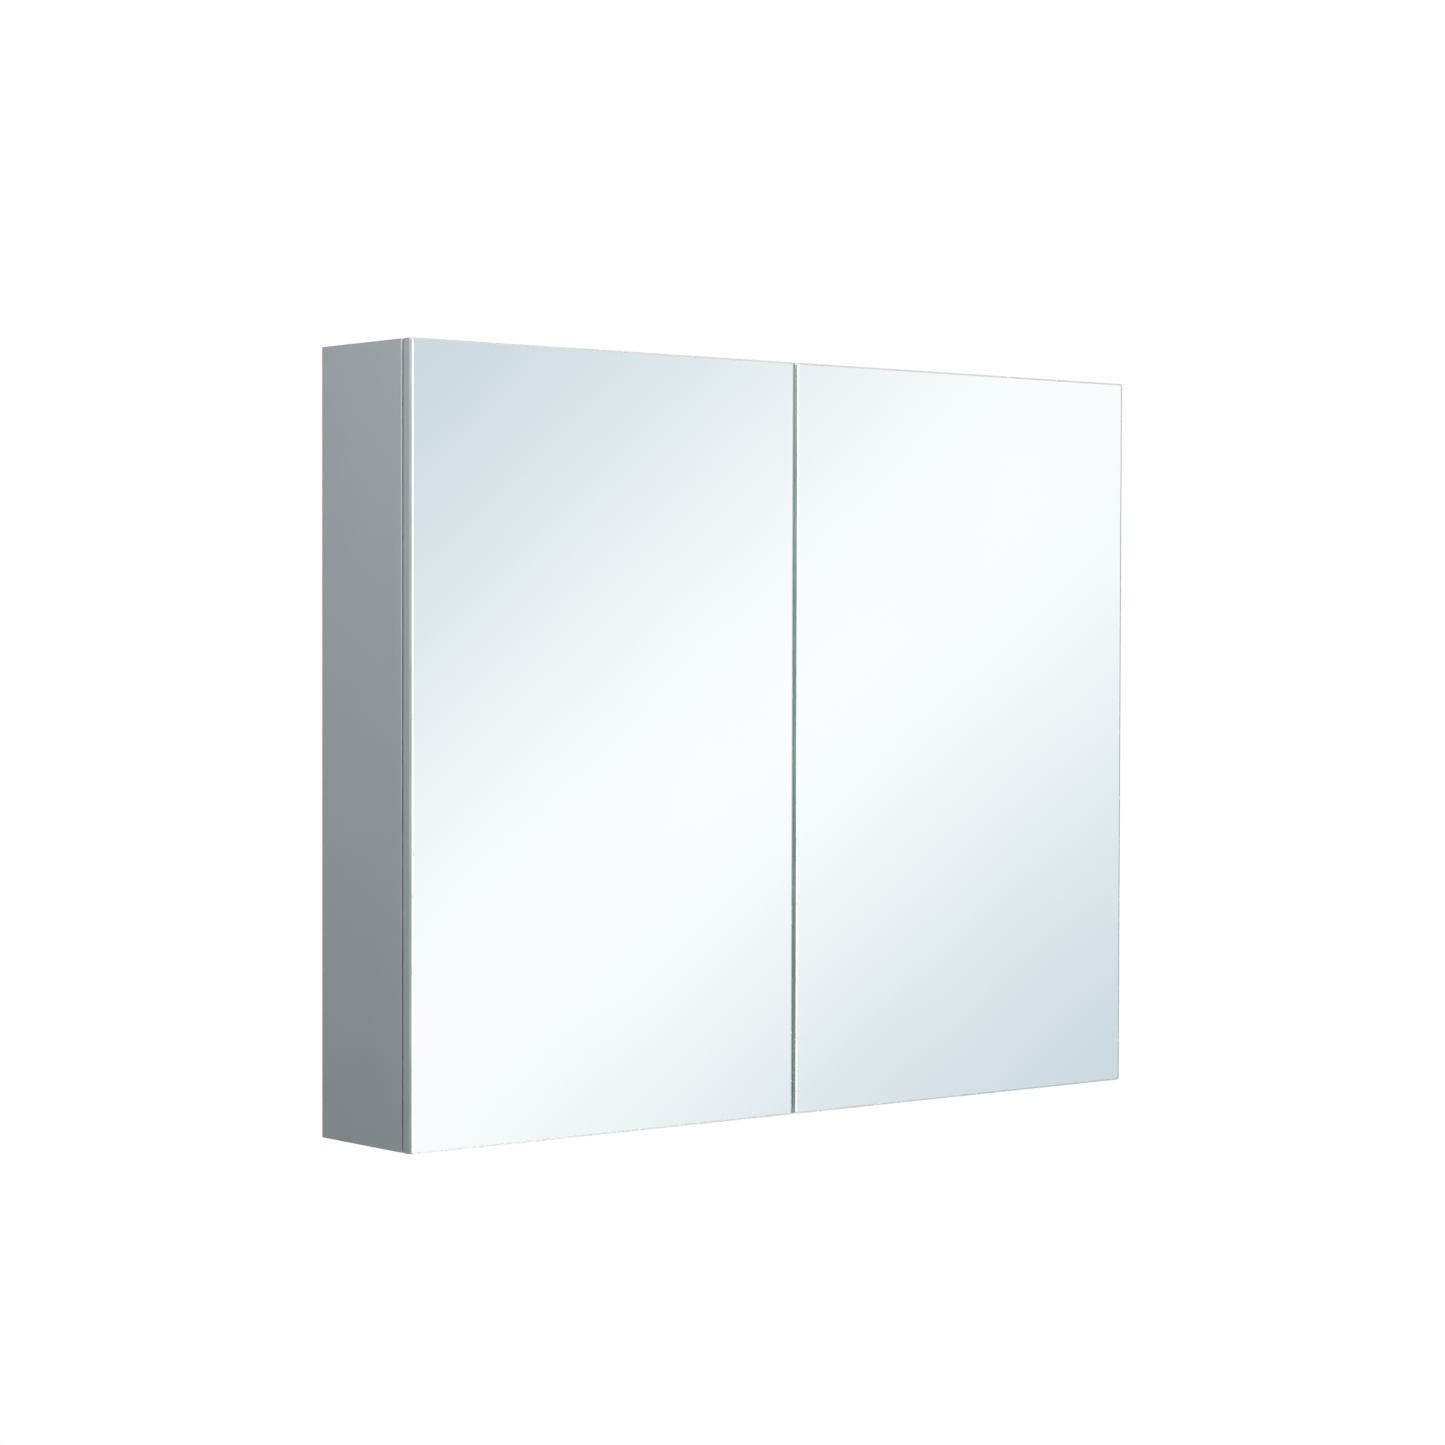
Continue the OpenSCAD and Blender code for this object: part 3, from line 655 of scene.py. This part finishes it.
def make_floor():
    """A round pale floor below the cabinet, which fades out into the white studio."""
    look = Look("studio_floor", Roughness=0.7)
    look.colour(look.two_tone(look.noise(400 * MM, detail=3), "#ECEDEC", "#F0F1F0"))
    level_place = look.vector_math("MULTIPLY", look.place, (1, 1, 0))
    distance = look.vector_math("LENGTH", level_place, result="Value")
    fade = look.ramp(distance, FLOOR_RADIUS, 0.5 * FLOOR_RADIUS, smooth=True)
    look.feed(look.shader, "Alpha", fade)
    work = bmesh.new()
    bmesh.ops.create_circle(work, cap_ends=True, segments=96, radius=FLOOR_RADIUS,
                            matrix=Matrix.Translation((0, 0, FLOOR_LEVEL)))
    new_piece("floor", work, (look.material,))


# ---- The studio's walls, as the mirrors and the gloss show them ----

# Crosswise to the band that the doors mirror, as shares of the camera's right and up
BAND_ACROSS = (0.6912, -0.7226)
BAND_MIDDLE = 0.0076
# Distance from the middle of the band, and the colour there
BAND_COLOURS = ((0.022, "#F9FDFE"), (0.051, "#EFF6F8"), (0.083, "#E2EBF0"), (0.134, "#C9D8DE"),
                (0.3, "#C6D2D6"))
LAMP_WHITE = (1.25, 1.25, 1.25, 1)
LEFT_WALL = "#C3CED4"
FAR_RIGHT_WALL = "#8E999D"
BACK_WALL = "#BEC8CC"
BACK_LEFT_WALL = "#9A9FA2"
BACK_LEFT_LOW = "#2A2C2E"
CEILING = "#C9CBC2"
GROUND = "#B0BEBA"
LIGHT_FROM_BELOW = (0.03, 0.03, 0.032, 1)
LIGHT_FROM_ABOVE = (0.2, 0.2, 0.2, 1)


def banded_wall(nodes, ray):
    """What the doors mirror: a white diagonal band, falling off to pale blue on both sides."""
    right, up, _ = camera_axes()
    across = BAND_ACROSS[0] * right + BAND_ACROSS[1] * up
    across.y = -across.y
    place = nodes.vector_math("DOT_PRODUCT", ray, tuple(across), "Value")
    from_band = nodes.math("ABSOLUTE", nodes.math("SUBTRACT", place, BAND_MIDDLE))
    ramp = nodes.add("ShaderNodeValToRGB")
    ramp.color_ramp.interpolation = "B_SPLINE"
    elements = ramp.color_ramp.elements
    elements[0].color = rgba(BAND_COLOURS[0][1])
    elements[1].color = rgba(BAND_COLOURS[-1][1])
    for position, colour in BAND_COLOURS[:-1]:
        elements.new(position).color = rgba(colour)
    nodes.feed(ramp, "Fac", from_band)
    return ramp.outputs["Color"]


def studio_walls(nodes, ray):
    """The colour in each direction. Each limit is a coordinate of the ray, whose length is 1."""
    x, y, z = nodes.split(ray)
    to_left = nodes.ramp(x, 0.1, -0.25, smooth=True)
    to_back_left = nodes.ramp(x, -0.35, -0.7, smooth=True)
    to_lamp_side = nodes.ramp(x, 0.45, 0.36, smooth=True)
    to_far_right = nodes.ramp(x, 0.8, 0.88, smooth=True)
    to_back = nodes.ramp(y, -0.1, 0.35, smooth=True)
    to_low = nodes.ramp(z, -0.07, -0.15, smooth=True)
    to_ceiling = nodes.ramp(z, 0.18, 0.4, smooth=True)
    to_ground = nodes.ramp(z, -0.2, -0.42, smooth=True)

    front_left = nodes.blend(to_left, LAMP_WHITE, LEFT_WALL)
    front = nodes.blend(to_lamp_side, banded_wall(nodes, ray), front_left)
    front = nodes.blend(to_far_right, front, FAR_RIGHT_WALL)
    back_left = nodes.blend(to_low, BACK_LEFT_WALL, BACK_LEFT_LOW)
    back = nodes.blend(to_back_left, BACK_WALL, back_left)
    level = nodes.blend(to_back, front, back)
    return nodes.blend(to_ground, nodes.blend(to_ceiling, level, CEILING), GROUND)


def make_world():
    """A studio whose walls show in reflections and glass. The camera sees plain white."""
    world = bpy.data.worlds.new("studio")
    bpy.context.scene.world = world
    world.use_nodes = True
    nodes = Nodes(world.node_tree)
    ray = nodes.add("ShaderNodeTexCoord").outputs["Generated"]
    height = nodes.split(ray)[Z]
    light = nodes.blend(nodes.ramp(height, -1, 1), LIGHT_FROM_BELOW, LIGHT_FROM_ABOVE)
    path = nodes.add("ShaderNodeLightPath").outputs
    mirrored = nodes.math("MAXIMUM", path["Is Glossy Ray"], path["Is Transmission Ray"])
    lit = nodes.blend(mirrored, light, studio_walls(nodes, ray))
    seen = nodes.blend(path["Is Camera Ray"], lit, "#FFFFFF")
    background = nodes.add("ShaderNodeBackground")
    nodes.feed(background, "Color", seen)
    output = nodes.add("ShaderNodeOutputWorld")
    nodes.feed(output, "Surface", background.outputs["Background"])


# ---- Lights ----

# Name, place, size across and power in watts of each soft light. All face the cabinet
LIGHTS = (
    ("lamp_left", (-1.6, -0.3, 0.95), 0.3, 9.6),
    ("lamp_front_left", (-0.75, -1.2, 0.8), 0.25, 15.0),
    ("lamp_front_right", (1.6, -2.6, 1.0), 1.6, 45.0),
    ("lamp_above", (0.4, -0.3, 2.4), 1.6, 60.0),
    ("lamp_behind", (0.7, 2.4, 0.9), 1.6, 60.0),
)


def make_light(name, place, size, power):
    data = bpy.data.lights.new(name, "AREA")
    data.shape = "DISK"
    data.size = size
    data.energy = power
    light = bpy.data.objects.new(name, data)
    bpy.context.scene.collection.objects.link(light)
    light.location = place
    light.rotation_euler = (-light.location).to_track_quat("-Z", "Y").to_euler()
    light.visible_glossy = False
    light.visible_camera = False


# ---- The scene ----

bpy.context.scene.view_settings.view_transform = "Standard"
make_camera()
make_world()
make_floor()
for light in LIGHTS:
    make_light(*light)
finish_cad_nodes()
for side in SIDES:
    mirror(side)
    latch_spring(side)
    for level in LEVELS:
        shelf(level, side)
